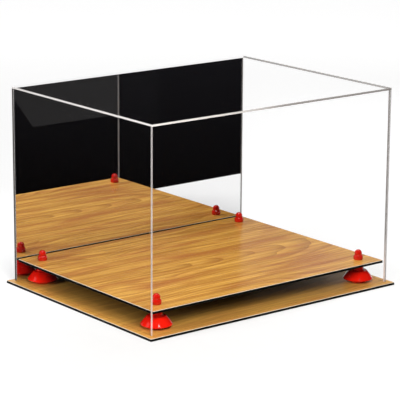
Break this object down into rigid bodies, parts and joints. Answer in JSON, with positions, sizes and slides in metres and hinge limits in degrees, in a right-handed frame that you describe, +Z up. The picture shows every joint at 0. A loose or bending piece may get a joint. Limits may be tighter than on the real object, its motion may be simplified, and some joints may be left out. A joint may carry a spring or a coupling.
{
  "type": "display case",
  "caption": "Tabletop display case: lift-off clear cover with a mirrored back over a wood-grain board raised on turned red risers above a matching base.",
  "frame": {"origin": "on the underside of the base board, below the middle of the case", "axes": "+X along the long side to the right as seen from the front, +Y towards the mirrored back, +Z up"},
  "size_m": [0.4752, 0.3736, 0.3121],
  "materials": {
    "clear_acrylic": "clear, polished",
    "acrylic_mirror": "second-surface mirror, painted behind",
    "black_core": "satin sawn edge",
    "wood_grain_face": "satin wood-grain laminate",
    "red_plastic": "high gloss",
    "screw_steel": "zinc plated"
  },
  "bodies": {
    "stand": {"base_core": "black_core", "base_face": "wood_grain_face", "platform_core": "black_core", "platform_face": "wood_grain_face", "riser_front_left": "red_plastic", "riser_front_right": "red_plastic", "riser_back_left": "red_plastic", "riser_back_right": "red_plastic", "screw_front_left": "screw_steel", "screw_front_right": "screw_steel", "screw_back_left": "screw_steel", "screw_back_right": "screw_steel"},
    "cover": {"cover_top": "clear_acrylic", "cover_front": "clear_acrylic", "cover_left": "clear_acrylic", "cover_right": "clear_acrylic", "mirror_panel": "acrylic_mirror"},
    "finial_front_left": {"finial_front_left": "red_plastic"},
    "finial_front_right": {"finial_front_right": "red_plastic"},
    "finial_back_left": {"finial_back_left": "red_plastic"},
    "finial_back_right": {"finial_back_right": "red_plastic"}
  },
  "joints": [
    {"name": "cover_lift", "type": "slide", "parent": "stand", "child": "cover", "axis": [0, 0, 1], "range_m": [0, 0.32]},
    {"name": "finial_front_left_turn", "type": "hinge", "parent": "stand", "child": "finial_front_left", "pos_m": [-0.1972, -0.1464, 0.0392], "axis": [0, 0, 1], "continuous": true},
    {"name": "finial_front_right_turn", "type": "hinge", "parent": "stand", "child": "finial_front_right", "pos_m": [0.1972, -0.1464, 0.0392], "axis": [0, 0, 1], "continuous": true},
    {"name": "finial_back_left_turn", "type": "hinge", "parent": "stand", "child": "finial_back_left", "pos_m": [-0.1972, 0.1464, 0.0392], "axis": [0, 0, 1], "continuous": true},
    {"name": "finial_back_right_turn", "type": "hinge", "parent": "stand", "child": "finial_back_right", "pos_m": [0.1972, 0.1464, 0.0392], "axis": [0, 0, 1], "continuous": true}
  ]
}
